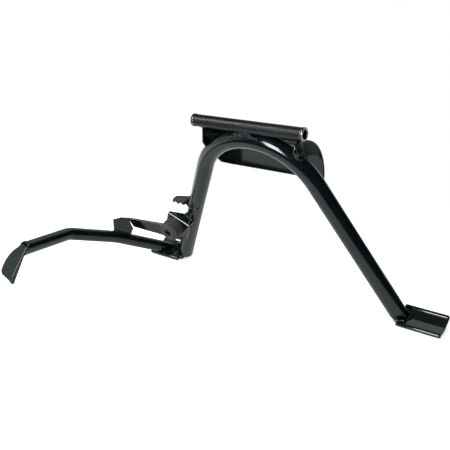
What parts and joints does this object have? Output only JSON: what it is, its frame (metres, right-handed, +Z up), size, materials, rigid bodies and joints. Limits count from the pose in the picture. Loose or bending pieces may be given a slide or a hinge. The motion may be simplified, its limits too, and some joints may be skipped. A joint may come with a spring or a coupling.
{
  "type": "centre_stand",
  "caption": "Centre stand of a small motorcycle: bent tube arch on a pivot tube, plate feet, foot lever with pad, and a bolted rubber stop",
  "frame": {"origin": "middle of the pivot axis", "axes": "+X to the rider's right along the pivot axis, +Y toward the front of the motorcycle, +Z up; the feet hang below and a little forward of the pivot"},
  "size_m": [0.5714, 0.3014, 0.2745],
  "materials": {
    "frame_paint": "gloss black powder coat",
    "pivot_paint": "thinner, duller black powder coat",
    "bare_steel": "turned steel, wiped clean at the rims",
    "bolt_steel": "black oxide steel",
    "bumper_rubber": "dull moulded rubber"
  },
  "bodies": {
    "root": {"leg_tube": "frame_paint", "pivot_tube": "pivot_paint", "left_pivot_bush": "bare_steel", "right_pivot_bush": "bare_steel", "crown_weld": "pivot_paint", "cross_plate": "frame_paint", "left_cheek": "frame_paint", "right_cheek": "frame_paint", "left_foot": "frame_paint", "right_foot": "frame_paint", "spring_hook": "frame_paint", "spring_anchor": "frame_paint", "lever_tube": "frame_paint", "lever_pad": "frame_paint", "lever_brace": "frame_paint", "bumper_bracket": "frame_paint", "rubber_bumper": "bumper_rubber", "bumper_bolt": "bolt_steel", "bumper_washer": "bare_steel", "bumper_nut": "bare_steel"}
  },
  "joints": []
}
